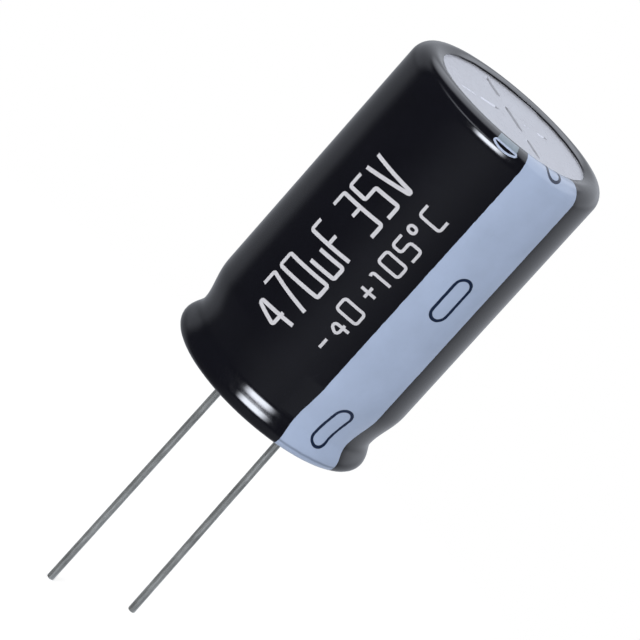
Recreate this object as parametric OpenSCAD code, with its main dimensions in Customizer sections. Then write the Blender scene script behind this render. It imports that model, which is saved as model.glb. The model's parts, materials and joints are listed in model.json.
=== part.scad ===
// Radial electrolytic capacitor: a drawn aluminium can in a shrunk sleeve, sealed by a rubber bung,
// with two tinned leads. The origin is the middle of the seating plane, midway between the leads.
// +Z runs up through the can to its scored end, and +X points to the cathode lead.

/* [Body] */
// Diameter over the sleeve
body_d = 22.4; // [20.4:0.1:25]
// Height over the sleeve, from the seating plane
body_h = 36.2; // [30:0.1:42]
// Radius of the shoulder at the top, over the sleeve
shoulder_r = 1.75; // [1:0.05:2.2]
// Radius of the heel at the foot, over the sleeve
heel_r = 1; // [0.8:0.05:1.2]

/* [Bead] */
// Height of the bead's waist
bead_z = 3.1; // [2.7:0.1:4]
// Height at which the wall is straight again
bead_end_z = 7.5; // [6.5:0.1:9]
// Depth of the bead rolled into the can
bead_depth = 1.4; // [1.2:0.05:1.7]
// Depth to which the sleeve dips over the bead
sleeve_dip = 0.7; // [0.4:0.05:1.1]

/* [Sleeve] */
// Wall of the shrunk sleeve
sleeve_wall = 0.2; // [0.15:0.01:0.25]
// Diameter of the opening that the sleeve leaves on the top
top_open_d = 16.9; // [15.4:0.1:17.2]
// Angle through which the sleeve wraps round the heel
sleeve_wrap = 120; // [105:5:135]

/* [Print] */
// Depth of the printed fields in the sleeve
print_depth = 0.1; // [0.05:0.01:0.12]
// Width of the polarity stripe round the body
stripe_w = 7.3; // [5:0.1:9]
// Angle from the cathode lead to the middle of the stripe
stripe_turn = -12.5; // [-20:0.5:20]
// Length of one minus mark
mark_len = 5.2; // [4:0.1:6]
// Width of one minus mark
mark_w = 2.15; // [1.6:0.05:2.6]
// Line width of the mark's outline
mark_line = 0.32; // [0.2:0.02:0.4]
// Height of the lowest mark's middle
mark_z = 4.4; // [3.6:0.1:6]
// Spacing of the marks along the stripe
mark_pitch = 16.8; // [12:0.1:20]
// How far from the opening's edge the middle of the cut-off mark's round end lies
top_mark_reach = 1.25; // [1.1:0.05:1.7]

/* [Can] */
// Wall of the can
can_wall = 0.45; // [0.3:0.01:0.5]
// Thickness of the panel that closes the can
end_t = 0.5; // [0.4:0.05:0.8]
// Slope of the can's rim and its sleeve, from their crest in to the panel
rim_slope = 13; // [5:1:18]
// Angle through which the lip curls round into the rubber
lip_wrap = 165; // [145:5:170]

/* [Vent] */
// Length of each of the two crossing score lines
score_len = 15; // [10:0.5:16]
// Depth of the score
score_depth = 0.25; // [0.15:0.01:0.3]
// Angle from the +X axis to the first score line
score_turn = -13; // [-45:1:45]

/* [Seal] */
// Thickness of the rubber bung
bung_t = 6.2; // [5:0.1:7]
// Free height between the bung or the bead and the winding
foot_space = 0.9; // [0.6:0.1:1.5]
// Free height between the winding and the can's end
head_space = 0.8; // [0.5:0.1:2]

/* [Winding] */
// Clearance between the taped winding and the can's wall
winding_gap = 0.25; // [0.15:0.05:0.6]
// Diameter of the hollow that the mandrel leaves
core_d = 3; // [2:0.1:5]
// Thickness of the closing tape
tape_t = 0.1; // [0.05:0.01:0.2]
// Height of the closing tape
tape_h = 18; // [10:0.5:20]

/* [Tabs] */
// Diameter of the aluminium stem in the bung
stem_d = 2.4; // [2:0.1:3]
// How far a stem stands out of the bung at each end
stem_out = 0.3; // [0.2:0.05:0.4]
// Width of the flat that lies between the turns
flat_w = 4; // [3:0.1:5]
// Thickness of that flat
flat_t = 0.4; // [0.25:0.05:0.6]
// Length of the flat inside the winding
flat_len = 19; // [12:0.5:20]

/* [Leads] */
// Spacing of the two leads
lead_pitch = 10; // [7.5:0.1:12.5]
// Diameter of the tinned wire
lead_d = 0.8; // [0.6:0.05:1]
// Length of the anode lead below the seating plane
anode_len = 30.5; // [20:0.1:32]
// Length of the cathode lead below the seating plane
cathode_len = 24.7; // [15:0.1:27]
// Diameter of the welded head on the wire, under the stem
weld_d = 1.7; // [1.2:0.1:1.9]
// Height of that head's lower end above the seating plane
weld_z = 0.25; // [0.15:0.05:0.35]
// Bevel where the wire was cut
tip_bevel = 0.1; // [0.05:0.01:0.15]

/* [Hidden] */
$fn = 96;
// Degrees to a straight piece of a profile's arc, and straight pieces in each flank of the bead
arc_step = 15;
flank_steps = 9;
// Overshoot of a cut past the face that it opens
past = 1;

body_r = body_d / 2;
top_open_r = top_open_d / 2;
heel_axis = body_r - heel_r;
shoulder_axis = body_r - shoulder_r;
shoulder_z = body_h - shoulder_r;
can_inset = sleeve_wall + can_wall;
can_bore_r = body_r - can_inset;
bung_z = heel_r;
bung_top_z = bung_z + bung_t;
stem_z = bung_z - stem_out;
stem_top_z = bung_top_z + stem_out;
winding_r = can_bore_r - winding_gap - tape_t;
winding_z = max(bung_top_z, bead_end_z) + foot_space;
stripe_deg = stripe_w / (PI * body_d) * 360;
stripe_start = stripe_turn - stripe_deg / 2;

// Height of the rim at a radius inside its crest, held under the top by inset
function rim_at(r, inset) = body_h - inset - (shoulder_axis - r) * tan(rim_slope);

panel_z = rim_at(top_open_r, sleeve_wall);
end_z = panel_z - end_t;
winding_top_z = end_z - head_space;
winding_h = winding_top_z - winding_z;

function reversed(list) = [for (i = [len(list) - 1:-1:0]) list[i]];

function arc(cx, cz, r, angles) = [for (a = angles) [cx + r * cos(a), cz + r * sin(a)]];

// Flank of the bead: a half wave from one radius and height to the next, without its first point
function flank(r0, z0, r1, z1) =
    [for (i = [1:flank_steps]) let (t = i / flank_steps)
        [r0 + (r1 - r0) * (1 - cos(180 * t)) / 2, z0 + (z1 - z0) * t]];

// Round curl at the foot, from its inner end to the crest of the bulge
function heel(inset, wrap) =
    let (whole_steps = ceil(wrap / arc_step) - 1)
    arc(heel_axis, heel_r, heel_r - inset, concat([-wrap], [for (i = [-whole_steps:0]) i * arc_step]));

// Wall from the bulge over the bead and the shoulder to the rim's crest, held inside the body by inset
function wall(inset, dip) = concat(
    flank(body_r - inset, heel_r, body_r - dip - inset, bead_z),
    flank(body_r - dip - inset, bead_z, body_r - inset, bead_end_z),
    arc(shoulder_axis, shoulder_z, shoulder_r - inset, [0:arc_step:90]));

// Radius of the can's bore at a height, which is less inside the shoulder
function bore_at(z) =
    z <= shoulder_z ? can_bore_r
                    : shoulder_axis + sqrt(pow(shoulder_r - can_inset, 2) - pow(z - shoulder_z, 2));

// Section of a shell that follows the sleeve's surface, between two insets
function skin_section(outer, inner) = concat(
    heel(outer, sleeve_wrap), wall(outer, sleeve_dip), [[top_open_r, rim_at(top_open_r, outer)]],
    [[top_open_r, rim_at(top_open_r, inner)]], reversed(wall(inner, sleeve_dip)),
    reversed(heel(inner, sleeve_wrap)));

// Section of the pocket that takes the stripe: the stripe's back, run on past both edges of the sleeve
// and closed outside the body
function pocket_section() =
    let (back = concat(heel(print_depth, sleeve_wrap), wall(print_depth, sleeve_dip)), foot = back[0],
         inner_r = top_open_r - past)
    concat([foot + past * [-sin(sleeve_wrap), -cos(sleeve_wrap)]], back,
           [[inner_r, rim_at(inner_r, print_depth)], [inner_r, body_h + past],
            [body_r + past, body_h + past], [body_r + past, -past], [foot[0] - past, -past]]);

// Solid swept over the width of the stripe
module over_stripe(section) {
    rotate([0, 0, stripe_start]) rotate_extrude(angle = stripe_deg) polygon(section);
}

module turned(section) {
    rotate_extrude() polygon(section);
}

module stadium(length, width) {
    square([length - width, width], center = true);
    for (end = [-1, 1]) translate([end * (length - width) / 2, 0]) circle(d = width);
}

module mark_outline(length) {
    difference() {
        stadium(length, mark_w);
        stadium(length - 2 * mark_line, mark_w - 2 * mark_line);
    }
}

// Cutters that carry the marks through the print: two on the wall, and one that runs over the shoulder
// to the sleeve's edge
module mark_cutters() {
    rotate([0, 0, stripe_turn]) {
        for (i = [0:1])
            translate([body_r - sleeve_dip - past, 0, mark_z + i * mark_pitch])
                rotate([0, 90, 0]) linear_extrude(sleeve_dip + 2 * past) mark_outline(mark_len);
        translate([top_open_r + top_mark_reach - (mark_len - mark_w) / 2, 0, body_h - shoulder_r])
            linear_extrude(shoulder_r + past) mark_outline(mark_len);
    }
}

// V-shaped cutter that lies on the panel with one edge down
module score_line(turn) {
    side = score_depth * sqrt(2);
    rotate([0, 0, turn]) rotate([45, 0, 0]) cube([score_len, side, side], center = true);
}

module can() {
    color([0.78, 0.79, 0.82]) difference() {
        turned(concat(heel(sleeve_wall, lip_wrap), wall(sleeve_wall, bead_depth),
                      [[top_open_r, panel_z], [0, panel_z], [0, end_z], [bore_at(end_z), end_z]],
                      reversed([for (p = wall(can_inset, bead_depth)) if (p[1] < end_z) p]),
                      reversed(heel(can_inset, lip_wrap))));
        translate([0, 0, panel_z]) for (quarter = [0, 90]) score_line(score_turn + quarter);
    }
}

module sleeve() {
    color([0.1, 0.1, 0.12]) difference() {
        turned(skin_section(0, sleeve_wall));
        over_stripe(pocket_section());
    }
}

module polarity_stripe() {
    color([0.63, 0.69, 0.79]) difference() {
        over_stripe(skin_section(0, print_depth));
        mark_cutters();
    }
}

module minus_marks() {
    color([0.12, 0.16, 0.26]) intersection() {
        over_stripe(skin_section(0, print_depth));
        mark_cutters();
    }
}

module rubber_bung() {
    color([0.16, 0.16, 0.17]) difference() {
        intersection() {
            turned(concat([[0, bung_z]], heel(can_inset, 180), wall(can_inset, bead_depth),
                          [[0, body_h - can_inset]]));
            cylinder(h = bung_top_z, r = body_r);
        }
        for (side = [-1, 1]) translate([side * lead_pitch / 2, 0, bung_z - past])
            cylinder(h = bung_t + 2 * past, d = stem_d);
    }
}

module winding() {
    color([0.72, 0.68, 0.6]) difference() {
        translate([0, 0, winding_z]) cylinder(h = winding_h, r = winding_r);
        translate([0, 0, winding_z - past]) cylinder(h = winding_h + 2 * past, d = core_d);
        for (side = [-1, 1]) translate([side * lead_pitch / 2, 0, 0]) tab_flat(winding_z - past);
    }
}

module winding_tape() {
    color([0.85, 0.8, 0.62]) translate([0, 0, winding_z + (winding_h - tape_h) / 2]) difference() {
        cylinder(h = tape_h, r = winding_r + tape_t);
        translate([0, 0, -past]) cylinder(h = tape_h + 2 * past, r = winding_r);
    }
}

// Flat of a tab, from the given height to its end inside the winding
module tab_flat(from_z) {
    translate([-flat_t / 2, -flat_w / 2, from_z]) cube([flat_t, flat_w, winding_z + flat_len - from_z]);
}

module tab(side) {
    color([0.8, 0.81, 0.83]) translate([side * lead_pitch / 2, 0, 0]) {
        translate([0, 0, stem_z]) cylinder(h = stem_top_z - stem_z, d = stem_d);
        tab_flat(bung_top_z);
    }
}

module anode_tab() { tab(-1); }

module cathode_tab() { tab(1); }

// Tinned wire with its welded head under the stem
module lead(side, length) {
    color([0.68, 0.69, 0.7]) translate([side * lead_pitch / 2, 0, 0])
        turned([[0, stem_z], [weld_d / 2, stem_z], [weld_d / 2, (stem_z + weld_z) / 2], [lead_d / 2, weld_z],
                [lead_d / 2, tip_bevel - length], [lead_d / 2 - tip_bevel, -length], [0, -length]]);
}

module anode_lead() { lead(-1, anode_len); }

module cathode_lead() { lead(1, cathode_len); }

can();
sleeve();
polarity_stripe();
minus_marks();
rubber_bung();
winding();
winding_tape();
anode_tab();
cathode_tab();
anode_lead();
cathode_lead();
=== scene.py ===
"""Looks of a radial electrolytic capacitor: a black shrunk sleeve with its print, a scored aluminium can and
two tinned leads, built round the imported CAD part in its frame. Lengths are in metres, angles in radians."""

import json
import logging
from dataclasses import dataclass, field, replace
from enum import Enum
from functools import cached_property
from math import ceil, cos, dist, hypot, pi, radians, sin, sqrt, tan, tau
from typing import Any, Iterable, Sequence

import bmesh
import bpy
import numpy as np
from bpy.types import Material, Mesh, Node, NodeSocket, NodeTree, Object
from mathutils import Matrix, Vector

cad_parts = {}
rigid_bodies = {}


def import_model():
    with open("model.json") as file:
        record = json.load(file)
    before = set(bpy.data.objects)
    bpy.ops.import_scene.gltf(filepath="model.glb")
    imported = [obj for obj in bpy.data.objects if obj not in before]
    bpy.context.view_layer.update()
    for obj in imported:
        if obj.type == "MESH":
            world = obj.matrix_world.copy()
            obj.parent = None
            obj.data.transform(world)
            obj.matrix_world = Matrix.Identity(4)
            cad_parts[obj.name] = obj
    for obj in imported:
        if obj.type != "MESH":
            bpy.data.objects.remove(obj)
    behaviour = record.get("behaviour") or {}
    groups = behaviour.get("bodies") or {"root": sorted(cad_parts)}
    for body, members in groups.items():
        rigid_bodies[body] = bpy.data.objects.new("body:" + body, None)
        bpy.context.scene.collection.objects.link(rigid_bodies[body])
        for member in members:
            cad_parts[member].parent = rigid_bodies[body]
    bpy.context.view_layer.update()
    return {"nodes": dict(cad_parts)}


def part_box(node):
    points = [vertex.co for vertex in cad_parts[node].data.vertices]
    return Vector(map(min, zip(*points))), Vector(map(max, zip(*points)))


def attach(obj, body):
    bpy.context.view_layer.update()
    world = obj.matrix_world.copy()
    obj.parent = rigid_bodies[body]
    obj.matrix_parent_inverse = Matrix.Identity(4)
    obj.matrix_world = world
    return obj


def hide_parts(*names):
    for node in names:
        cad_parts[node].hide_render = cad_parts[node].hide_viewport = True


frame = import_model()

LOG = logging.getLogger("capacitor")
MM = 0.001
ROOT = "root"
CAN_PIECE = "can_shell"

Point = tuple[float, float]
Triple = tuple[float, float, float]
Ramp = tuple[float, ...]


class Slot(Enum):
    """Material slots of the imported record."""

    ALUMINIUM = "aluminium"
    SLEEVE_FILM = "sleeve_film"
    STRIPE_PRINT = "stripe_print"
    MARK_PRINT = "mark_print"
    TINNED_WIRE = "tinned_wire"


class Ray(Enum):
    """Kinds of ray that the background answers on its own."""

    CAMERA = "Is Camera Ray"
    GLOSSY = "Is Glossy Ray"
    TRANSMISSION = "Is Transmission Ray"


class TreeKind(Enum):
    """Kinds of node group that the script builds."""

    SHAPE = "GeometryNodeTree"
    SHADER = "ShaderNodeTree"


class Pole(Enum):
    """The two leads, by the word that their pieces' names start with."""

    ANODE = "anode"
    CATHODE = "cathode"


# Node trees


@dataclass(frozen=True)
class Signal:
    """An output of a node. A sum on it adds the node that works it out."""

    graph: "Graph"
    socket: NodeSocket

    def __add__(self, other: Any) -> "Signal":
        """Puts out this plus the other."""
        return self.graph.math("ADD", self, other)

    def __sub__(self, other: Any) -> "Signal":
        """Puts out this minus the other."""
        return self.graph.math("SUBTRACT", self, other)

    def __mul__(self, other: Any) -> "Signal":
        """Puts out this times the other."""
        return self.graph.math("MULTIPLY", self, other)

    def __truediv__(self, other: Any) -> "Signal":
        """Puts out this divided by the other."""
        return self.graph.math("DIVIDE", self, other)


@dataclass
class Graph:
    """A node tree that is being built, with its inputs and with short calls to add and join its nodes."""

    tree: NodeTree
    given: dict[str, Signal] = field(default_factory=dict)

    def add(self, kind: str, feeds: dict[int | str, Any] | None = None, **settings: Any) -> Node:
        """Adds a node.

        Args:
            kind: Type name of the node.
            feeds: A value, or a signal to join, for each input by its name or number.
            **settings: Properties of the node.

        Returns:
            The new node.
        """
        node = self.tree.nodes.new(kind)
        for name, value in settings.items():
            setattr(node, name, value)
        for key, value in (feeds or {}).items():
            self.feed(node.inputs[key], value)
        return node

    def feed(self, socket: NodeSocket, value: Any) -> None:
        """Joins a signal to an input, or writes a plain value on it.

        Args:
            socket: The input.
            value: The signal or the value.
        """
        if isinstance(value, Signal):
            self.tree.links.new(value.socket, socket)
        else:
            socket.default_value = value

    def take(self, kind: str, feeds: dict[int | str, Any] | None = None, out: int | str = 0,
             **settings: Any) -> Signal:
        """Adds a node, as add does, and gives the named or numbered output."""
        return Signal(self, self.add(kind, feeds, **settings).outputs[out])

    def group(self, tree: NodeTree, feeds: dict[str, Any]) -> Signal:
        """Places a node group with its own values and gives its output."""
        return self.take(self.tree.bl_idname.replace("Tree", "Group"), feeds, node_tree=tree)

    def math(self, operation: str, *values: Any, clamp: bool = False) -> Signal:
        """Puts out the result of one sum on numbers."""
        return self.take("ShaderNodeMath", dict(enumerate(values)), operation=operation, use_clamp=clamp)

    def vector(self, operation: str, *values: Any, out: int | str = 0) -> Signal:
        """Puts out the result of one sum on vectors."""
        return self.take("ShaderNodeVectorMath", dict(enumerate(values)), out, operation=operation)

    def scaled(self, vector: Any, factor: Any) -> Signal:
        """Puts out a vector or a colour times a number."""
        return self.take("ShaderNodeVectorMath", {"Vector": vector, "Scale": factor}, operation="SCALE")

    def split(self, vector: Any) -> list[Signal]:
        """Puts out the three parts of a vector."""
        return [Signal(self, part) for part in self.add("ShaderNodeSeparateXYZ", {0: vector}).outputs]

    def join(self, x: Any, y: Any, z: Any) -> Signal:
        """Puts out a vector made of three numbers."""
        return self.take("ShaderNodeCombineXYZ", {0: x, 1: y, 2: z})

    def compass(self, angle: Any) -> tuple[Signal, Signal]:
        """Puts out the cosine and the sine of an angle."""
        return self.math("COSINE", angle), self.math("SINE", angle)

    def place(self) -> Signal:
        """Puts out the place on the object."""
        return self.take("ShaderNodeTexCoord", out="Object")

    def span(self, value: Any, low: float, high: float, to_low: float = 0.0, to_high: float = 1.0) -> Signal:
        """Maps a number from one span to another, easing in and out, and holds it at the ends."""
        return self.take("ShaderNodeMapRange", {0: value, 1: low, 2: high, 3: to_low, 4: to_high},
                         interpolation_type="SMOOTHSTEP")

    def noise(self, vector: Any, scale: Any, detail: float = 2.0, roughness: float = 0.5,
              out: int | str = 0) -> Signal:
        """Puts out the value of a noise texture, or its colour."""
        return self.take("ShaderNodeTexNoise", {"Vector": vector, "Scale": scale, "Detail": detail,
                                                "Roughness": roughness}, out)

    def blend(self, share: Any, first: Any, second: Any) -> Signal:
        """Puts out a mix of two colours.

        Args:
            share: Share of the second colour.
            first: The first colour.
            second: The second colour.

        Returns:
            The mixed colour.
        """
        node = self.add("ShaderNodeMix", data_type="RGBA")
        inputs = {socket.identifier: socket for socket in node.inputs}
        for name, value in (("Factor_Float", share), ("A_Color", first), ("B_Color", second)):
            self.feed(inputs[name], value)
        return Signal(self, next(s for s in node.outputs if s.identifier == "Result_Color"))

    def send(self, signal: Signal) -> NodeTree:
        """Joins a signal to the group's output and gives the finished group."""
        self.add("NodeGroupOutput", {0: signal})
        return self.tree

    def close(self, geometry: Signal) -> NodeTree:
        """Ends a tree with Realize Instances and Set Material, and gives it."""
        real = self.take("GeometryNodeRealizeInstances", {0: geometry})
        return self.send(self.take("GeometryNodeSetMaterial", {0: real, "Material": self.given["Material"]}))


def socket_kind(start: Any) -> str:
    """Gives the type of a group's input.

    Args:
        start: The input's starting value, or the type's own name where it has none.

    Returns:
        The type's name.
    """
    if isinstance(start, str):
        return start
    if isinstance(start, tuple):
        return "NodeSocketVector" if len(start) == 3 else "NodeSocketColor"
    return "NodeSocketInt" if isinstance(start, int) else "NodeSocketFloat"


def new_group(name: str, kind: TreeKind, inputs: dict[str, Any], output: tuple[str, str]) -> Graph:
    """Makes an empty node group with its sockets.

    Args:
        name: Name of the group.
        kind: Whether it shapes or shades.
        inputs: Starting value, or type, of each named input.
        output: Name and type of the group's one output.

    Returns:
        The graph, with the group's inputs as signals.
    """
    tree = bpy.data.node_groups.new(name, kind.value)
    for label, start in inputs.items():
        socket = tree.interface.new_socket(label, in_out="INPUT", socket_type=socket_kind(start))
        if not isinstance(start, str):
            socket.default_value = start
    tree.interface.new_socket(output[0], in_out="OUTPUT", socket_type=output[1])
    graph = Graph(tree)
    source = graph.add("NodeGroupInput")
    graph.given = {label: Signal(graph, source.outputs[label]) for label in inputs}
    return graph


def cleared(owner: Any) -> Graph:
    """Gives the emptied node tree of a material, a world or a lamp.

    Args:
        owner: The material, the world or the lamp.

    Returns:
        The graph on its tree.
    """
    owner.use_nodes = True
    owner.node_tree.nodes.clear()
    return Graph(owner.node_tree)


def rgba(colour: Triple) -> tuple[float, float, float, float]:
    """Gives a colour with full opacity."""
    return (*colour, 1.0)


# Section of the can and its sleeve


def arc_points(centre: Point, radius: float, start: float, stop: float, pieces: int) -> list[Point]:
    """Gives the points of an arc.

    Args:
        centre: Middle of the arc.
        radius: Its radius.
        start: Angle of its first point.
        stop: Angle of its last point.
        pieces: Number of straight pieces.

    Returns:
        The points, both ends among them.
    """
    angles = [start + (stop - start) * i / pieces for i in range(pieces + 1)]
    return [(centre[0] + radius * cos(a), centre[1] + radius * sin(a)) for a in angles]


@dataclass(frozen=True)
class CanForm:
    """Section of the sleeved can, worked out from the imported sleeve's box and the sizes of its forms."""

    radius: float
    height: float
    shoulder: float = 1.75 * MM
    heel: float = 1.0 * MM
    waist_z: float = 3.1 * MM
    straight_z: float = 7.5 * MM
    can_waist_depth: float = 1.4 * MM
    film_waist_depth: float = 0.7 * MM
    film: float = 0.2 * MM
    wall: float = 0.45 * MM
    end: float = 0.5 * MM
    bore_corner: float = 0.1 * MM
    opening_radius: float = 8.45 * MM
    rim_slope: float = radians(13)
    rim_power: float = 1.3
    rim_pieces: int = 12
    panel_ledge: float = 0.05 * MM
    panel_ring: float = 0.6
    film_wrap: float = radians(120)
    lip_wrap: float = radians(165)
    print_depth: float = 0.1 * MM
    skin: float = 0.015 * MM
    arc_step: float = radians(5)
    flank_pieces: int = 36

    def arc(self, centre: Point, radius: float, start: float, stop: float) -> list[Point]:
        """Gives the points of an arc from one angle to another, in the plane of radius and height."""
        return arc_points(centre, radius, start, stop, max(2, ceil(abs(stop - start) / self.arc_step)))

    def flank(self, start: Point, stop: Point) -> list[Point]:
        """Gives one flank of the bead, a half wave.

        Args:
            start: Its first point, which is left out.
            stop: Its last point.

        Returns:
            The points.
        """
        shares = [i / self.flank_pieces for i in range(1, self.flank_pieces + 1)]
        return [(start[0] + (stop[0] - start[0]) * (1 - cos(pi * t)) / 2,
                 start[1] + (stop[1] - start[1]) * t) for t in shares]

    def heel_curl(self, inset: float, wrap: float) -> list[Point]:
        """Gives the curl at the foot, from its inner end to the crest of the bulge."""
        return self.arc((self.radius - self.heel, self.heel), self.heel - inset, -wrap, 0)

    def side(self, inset: float, waist_depth: float) -> list[Point]:
        """Gives the wall from the bulge over the bead and the shoulder to the flat top.

        Args:
            inset: Distance from the sleeve's face inwards.
            waist_depth: Depth of the bead's groove.

        Returns:
            The points, from the foot up.
        """
        outer = self.radius - inset
        waist = (outer - waist_depth, self.waist_z)
        middle = (self.radius - self.shoulder, self.height - self.shoulder)
        return (self.flank((outer, self.heel), waist) + self.flank(waist, (outer, self.straight_z))
                + self.arc(middle, self.shoulder - inset, 0, pi / 2))

    @property
    def rim_drop(self) -> float:
        """Gives how far the rim falls from its crest to the film's edge."""
        return (self.radius - self.shoulder - self.opening_radius) * tan(self.rim_slope)

    @property
    def panel_z(self) -> float:
        """Gives the height of the can's end panel."""
        return self.height - self.film - self.rim_drop

    def rim(self, inset: float) -> list[Point]:
        """Gives the rim, which falls ever more steeply from its crest in to the film's edge.

        Args:
            inset: Distance from the film's face inwards.

        Returns:
            The points, without the crest itself.
        """
        crest = self.radius - self.shoulder
        shares = [i / self.rim_pieces for i in range(1, self.rim_pieces + 1)]
        return [(crest + (self.opening_radius - crest) * s,
                 self.height - inset - self.rim_drop * s ** self.rim_power) for s in shares]

    def skin_path(self) -> list[Point]:
        """Gives the line that the printed face of the film follows, from its foot to its edge on the top."""
        return self.heel_curl(0, self.film_wrap) + self.side(0, self.film_waist_depth) + self.rim(0)

    def panel_path(self) -> list[Point]:
        """Gives the rim and the flat panel of the can's end, from the crest to the middle."""
        radii = (self.opening_radius - self.panel_ledge, self.panel_ring * self.opening_radius, 0.0)
        return self.rim(self.film) + [(r, self.panel_z) for r in radii]

    def can_section(self) -> list[Point]:
        """Gives the can's section, from the middle of its inner end round its lip to the panel's middle.

        Returns:
            The points in radius and height.
        """
        inner = self.film + self.wall
        end_z = self.panel_z - self.end
        bore = [p for p in self.side(inner, self.can_waist_depth) if p[1] < end_z]
        bore_top = (bore[-1][0] - self.bore_corner, end_z)
        return ([(0.0, end_z), bore_top] + bore[::-1] + self.heel_curl(inner, self.lip_wrap)[::-1]
                + self.heel_curl(self.film, self.lip_wrap) + self.side(self.film, self.can_waist_depth)
                + self.panel_path())

    def length_at(self, z: float) -> float:
        """Gives the length along the film's face from its foot up to a height on the wall or the shoulder.

        Args:
            z: The height.

        Returns:
            The length, or the whole length where the face stays lower.
        """
        travelled = 0.0
        path = self.skin_path()
        for (r0, z0), (r1, z1) in zip(path, path[1:]):
            step = hypot(r1 - r0, z1 - z0)
            if r0 > self.radius - self.heel and z0 <= z < z1:
                return travelled + step * (z - z0) / (z1 - z0)
            travelled += step
        return travelled

    def length_under(self, radius: float) -> float:
        """Gives the length along the film's face at which the shoulder has a given radius."""
        out = radius - self.radius + self.shoulder
        return self.length_at(self.height - self.shoulder + sqrt(self.shoulder ** 2 - out ** 2))

    @property
    def path_length(self) -> float:
        """Gives the whole length along the film's face."""
        path = self.skin_path()
        return sum(dist(a, b) for a, b in zip(path, path[1:]))

    @property
    def girth(self) -> float:
        """Gives the distance once round the body."""
        return tau * self.radius


def packed_form() -> CanForm:
    """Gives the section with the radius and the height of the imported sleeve."""
    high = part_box("sleeve")[1]
    return CanForm(radius=round(high.y / MM, 1) * MM, height=high.z)


# Meshes and the trees that shape them


def linked(name: str, data: Any) -> Object:
    """Makes an object from a mesh, a camera or a lamp and puts it in the scene.

    Args:
        name: Name of the object.
        data: The mesh, the camera or the lamp.

    Returns:
        The object, at the origin.
    """
    made = bpy.data.objects.new(name, data)
    bpy.context.scene.collection.objects.link(made)
    return made


def mesh_object(name: str, points: Iterable[Sequence[float]], faces: Sequence[Sequence[int]] = (),
                edges: Sequence[Sequence[int]] = ()) -> Object:
    """Makes an object from plain lists.

    Args:
        name: Name of the object and its mesh.
        points: The points.
        faces: Numbers of each face's points.
        edges: Numbers of each loose edge's points.

    Returns:
        The object, at the origin.
    """
    mesh = bpy.data.meshes.new(name)
    mesh.from_pydata([tuple(p) for p in points], list(edges), list(faces))
    return linked(name, mesh)


def section_object(name: str, points: Sequence[Point]) -> Object:
    """Makes an open line of edges in the plane of radius and height."""
    edges = [(i, i + 1) for i in range(len(points) - 1)]
    return mesh_object(name, [(r, 0.0, z) for r, z in points], edges=edges)


def lines_object(name: str, lines: Iterable[tuple[Sequence[Point], bool]], offset: float) -> Object:
    """Makes flat lines of edges for the film.

    Args:
        name: Name of the object.
        lines: The points of each line, round the body and up the film, and whether it closes on itself.
        offset: Distance from the sleeve's face outwards.

    Returns:
        The object with all lines.
    """
    points: list[Triple] = []
    edges: list[tuple[int, int]] = []
    for line, closed in lines:
        first, count = len(points), len(line)
        edges += [(first + i, first + (i + 1) % count) for i in range(count if closed else count - 1)]
        points += [(x, y, offset) for x, y in line]
    return mesh_object(name, points, edges=edges)


def face_outwards(mesh: Mesh) -> None:
    """Turns a closed mesh whose volume comes out below zero, because its faces point inwards.

    Args:
        mesh: The mesh.
    """
    mesh.calc_loop_triangles()
    points = np.array([v.co for v in mesh.vertices])
    corners = points[np.array([t.vertices for t in mesh.loop_triangles])]
    if np.einsum("ij,ij->i", corners[:, 0], np.cross(corners[:, 1], corners[:, 2])).sum() < 0:
        mesh.flip_normals()


def formed(name: str, source: Object, tree: NodeTree, values: dict[str, Any],
           sharp_angle: float = radians(35)) -> Object:
    """Shapes an object with a Geometry Nodes tree and turns it into one plain mesh, with its faces outwards.

    Args:
        name: Name of the finished piece.
        source: The object that the tree starts from, which is removed.
        tree: The tree.
        values: Value of each named input, which is set by its socket's identifier.
        sharp_angle: Edges bent by more than this stay sharp.

    Returns:
        The finished piece.
    """
    modifier = source.modifiers.new(tree.name, "NODES")
    modifier.node_group = tree
    sockets = {s.name: s.identifier for s in tree.interface.items_tree if s.in_out == "INPUT"}
    for label, value in values.items():
        modifier[sockets[label]] = value
    depsgraph = bpy.context.evaluated_depsgraph_get()
    mesh = bpy.data.meshes.new_from_object(source.evaluated_get(depsgraph), preserve_all_data_layers=True,
                                           depsgraph=depsgraph)
    mesh.name = name
    face_outwards(mesh)
    mesh.polygons.foreach_set("use_smooth", [True] * len(mesh.polygons))
    mesh.set_sharp_from_angle(angle=sharp_angle)
    source.modifiers.clear()
    bpy.data.objects.remove(source)
    return linked(name, mesh)


GEOMETRY = "NodeSocketGeometry"
GEOMETRY_OUT = ("Geometry", GEOMETRY)
LAY_INPUTS = {"Geometry": GEOMETRY, "Path": "NodeSocketObject", "Body Radius": 0.01, "Wander": 0.0,
              "Edge Wander": 0.0, "Ripple": 0.0, "Seed": 0.0}
FILM_INPUTS = LAY_INPUTS | {"Material": "NodeSocketMaterial"}
LINE_INPUTS = FILM_INPUTS | {"Line Width": 0.3 * MM, "Ink Depth": 0.03 * MM, "Corner": 0.2 * MM,
                             "Step": 0.1 * MM}
TURN_INPUTS = {"Geometry": GEOMETRY, "Segments": 240, "Axis X": 0.0, "Material": "NodeSocketMaterial"}
LEAD_INPUTS = TURN_INPUTS | {"Root Shift": (0.0, 0.0, 0.0), "Tip Z": -0.03, "Tip Shift": (0.0, 0.0, 0.0)}
CAN_INPUTS = TURN_INPUTS | {"First Blade": "NodeSocketObject", "Second Blade": "NodeSocketObject",
                            "First Turn": 0.0, "Line Spacing": pi / 2, "Panel Z": 0.03}


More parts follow.
